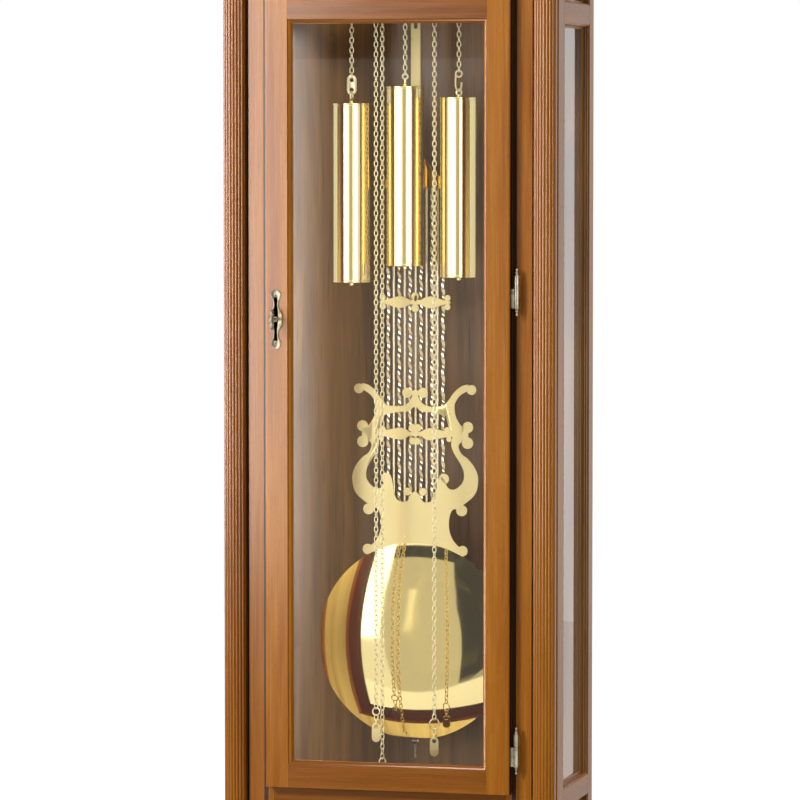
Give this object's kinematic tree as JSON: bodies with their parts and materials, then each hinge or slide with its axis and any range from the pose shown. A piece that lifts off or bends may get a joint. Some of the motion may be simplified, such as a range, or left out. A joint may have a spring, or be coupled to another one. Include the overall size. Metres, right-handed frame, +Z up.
{
  "type": "longcase clock",
  "caption": "Tall wooden case clock with a glazed door, reeded corner posts, brass weights on chains, a lyre pendulum, a dial with hands, a chime and a hinged, lockable door.",
  "frame": {"origin": "on the floor at the centre of the plinth's footprint", "axes": "+Z up, -Y out of the front of the clock, +X to the viewer's right"},
  "size_m": [0.489, 0.271, 1.88],
  "materials": {
    "case_wood": "clear lacquer, semi-gloss",
    "back_wood": "satin",
    "glass": "polished",
    "dial_white": "satin",
    "black_paint": "satin",
    "cast_iron": "rough",
    "old_brass": "aged",
    "movement_brass": "satin",
    "polished_brass": "polished and lacquered",
    "satin_brass": "satin",
    "chain_brass": "bright"
  },
  "bodies": {
    "case": {"plinth": "case_wood", "cornice": "case_wood", "top_board": "case_wood", "floor_board": "case_wood", "back_panel": "back_wood", "face_stiles": "case_wood", "face_rails": "case_wood", "base_panel": "case_wood", "corner_posts": "case_wood", "side_stiles": "case_wood", "side_rails": "case_wood", "side_beads": "case_wood", "side_glass": "glass", "side_panels": "case_wood", "seat_board": "case_wood", "hinge_leaves_case": "old_brass", "movement_plates": "movement_brass", "pillars": "movement_brass", "suspension_cock": "movement_brass", "dial_plate": "dial_white", "chapter_ring": "dial_white", "numerals": "black_paint", "chime_block": "cast_iron", "chime_rods": "movement_brass", "hammer_bracket": "movement_brass", "weight_chains": "chain_brass"},
    "door": {"door_stiles": "case_wood", "door_rails": "case_wood", "door_beads": "case_wood", "door_glass_lower": "glass", "door_glass_upper": "glass", "hinge_leaves_door": "old_brass", "escutcheon": "old_brass", "lock_case": "old_brass"},
    "key": {"key": "old_brass", "latch_tongue": "old_brass"},
    "pendulum": {"pendulum_strip": "satin_brass", "rod_bracket": "satin_brass", "plain_rods": "satin_brass", "twisted_rods": "satin_brass", "cross_bar": "satin_brass", "lyre": "satin_brass", "bob": "polished_brass", "bob_back": "polished_brass", "rating_rod": "movement_brass"},
    "rating_nut": {"rating_nut": "movement_brass"},
    "anchor": {"anchor_crutch": "movement_brass"},
    "escape_wheel": {"escape_wheel": "movement_brass"},
    "wheel_left": {"chain_wheel_left": "movement_brass"},
    "wheel_mid": {"chain_wheel_mid": "movement_brass"},
    "wheel_right": {"chain_wheel_right": "movement_brass"},
    "minute_hand": {"minute_hand": "black_paint"},
    "hour_hand": {"hour_hand": "black_paint"},
    "hammers": {"hammers": "movement_brass"},
    "weight_left": {"weight_left": "polished_brass"},
    "weight_mid": {"weight_mid": "polished_brass"},
    "weight_right": {"weight_right": "polished_brass"},
    "free_left": {"free_chain_left": "chain_brass"},
    "free_mid": {"free_chain_mid": "chain_brass"},
    "free_right": {"free_chain_right": "chain_brass"}
  },
  "joints": [
    {"name": "door_swing", "type": "hinge", "parent": "case", "child": "door", "pos_m": [0.1676, -0.101, 1.1], "axis": [0, 0, 1], "range_deg": [0, 105]},
    {"name": "key_turn", "type": "hinge", "parent": "door", "child": "key", "pos_m": [-0.145, -0.1, 1.048], "axis": [0, 1, 0], "range_deg": [0, 90]},
    {"name": "pendulum_swing", "type": "hinge", "parent": "case", "child": "pendulum", "pos_m": [0, 0.0479, 1.625], "axis": [0, 1, 0], "range_deg": [-3, 3]},
    {"name": "crutch_swing", "type": "hinge", "parent": "case", "child": "anchor", "pos_m": [0, 0, 1.625], "axis": [0, 1, 0], "range_deg": [-3, 3]},
    {"name": "escape_turn", "type": "hinge", "parent": "case", "child": "escape_wheel", "pos_m": [0, 0, 1.604], "axis": [0, 1, 0], "continuous": true},
    {"name": "rating_nut_turn", "type": "hinge", "parent": "pendulum", "child": "rating_nut", "pos_m": [0, 0.0466, 0.4882], "axis": [0, 0, 1], "continuous": true},
    {"name": "hour_turn", "type": "hinge", "parent": "case", "child": "hour_hand", "pos_m": [0, -0.07, 1.58225], "axis": [0, 1, 0], "continuous": true},
    {"name": "minute_turn", "type": "hinge", "parent": "case", "child": "minute_hand", "pos_m": [0, -0.04, 1.58225], "axis": [0, 1, 0], "continuous": true},
    {"name": "hammers_lift", "type": "hinge", "parent": "case", "child": "hammers", "pos_m": [0.054, 0.0249, 1.647], "axis": [1, 0, 0], "range_deg": [0, 18]},
    {"name": "weight_left_slide", "type": "slide", "parent": "case", "child": "weight_left", "axis": [0, 0, 1], "range_m": [-0.6, 0.05], "deforming": ["weight_chains"]},
    {"name": "free_left_slide", "type": "slide", "parent": "case", "child": "free_left", "axis": [0, 0, 1], "range_m": [-0.05, 0.6], "deforming": ["free_chain_left"]},
    {"name": "wheel_left_turn", "type": "hinge", "parent": "case", "child": "wheel_left", "pos_m": [-0.0547, -0.0091, 1.49], "axis": [0, 1, 0], "continuous": true},
    {"name": "weight_mid_slide", "type": "slide", "parent": "case", "child": "weight_mid", "axis": [0, 0, 1], "range_m": [-0.6, 0.05], "deforming": ["weight_chains"]},
    {"name": "free_mid_slide", "type": "slide", "parent": "case", "child": "free_mid", "axis": [0, 0, 1], "range_m": [-0.05, 0.6], "deforming": ["free_chain_mid"]},
    {"name": "wheel_mid_turn", "type": "hinge", "parent": "case", "child": "wheel_mid", "pos_m": [-0.0152, -0.0091, 1.49], "axis": [0, 1, 0], "continuous": true},
    {"name": "weight_right_slide", "type": "slide", "parent": "case", "child": "weight_right", "axis": [0, 0, 1], "range_m": [-0.6, 0.05], "deforming": ["weight_chains"]},
    {"name": "free_right_slide", "type": "slide", "parent": "case", "child": "free_right", "axis": [0, 0, 1], "range_m": [-0.05, 0.6], "deforming": ["free_chain_right"]},
    {"name": "wheel_right_turn", "type": "hinge", "parent": "case", "child": "wheel_right", "pos_m": [0.0547, -0.0091, 1.49], "axis": [0, 1, 0], "continuous": true}
  ],
  "couplings": [
    {"joint": "crutch_swing", "follows": "pendulum_swing", "ratio": 1},
    {"joint": "minute_turn", "follows": "hour_turn", "ratio": 12},
    {"joint": "free_left_slide", "follows": "weight_left_slide", "ratio": -1},
    {"joint": "wheel_left_turn", "follows": "weight_left_slide", "rad_per_m": 62.112},
    {"joint": "free_mid_slide", "follows": "weight_mid_slide", "ratio": -1},
    {"joint": "wheel_mid_turn", "follows": "weight_mid_slide", "rad_per_m": -65.79},
    {"joint": "free_right_slide", "follows": "weight_right_slide", "ratio": -1},
    {"joint": "wheel_right_turn", "follows": "weight_right_slide", "rad_per_m": -62.112}
  ]
}
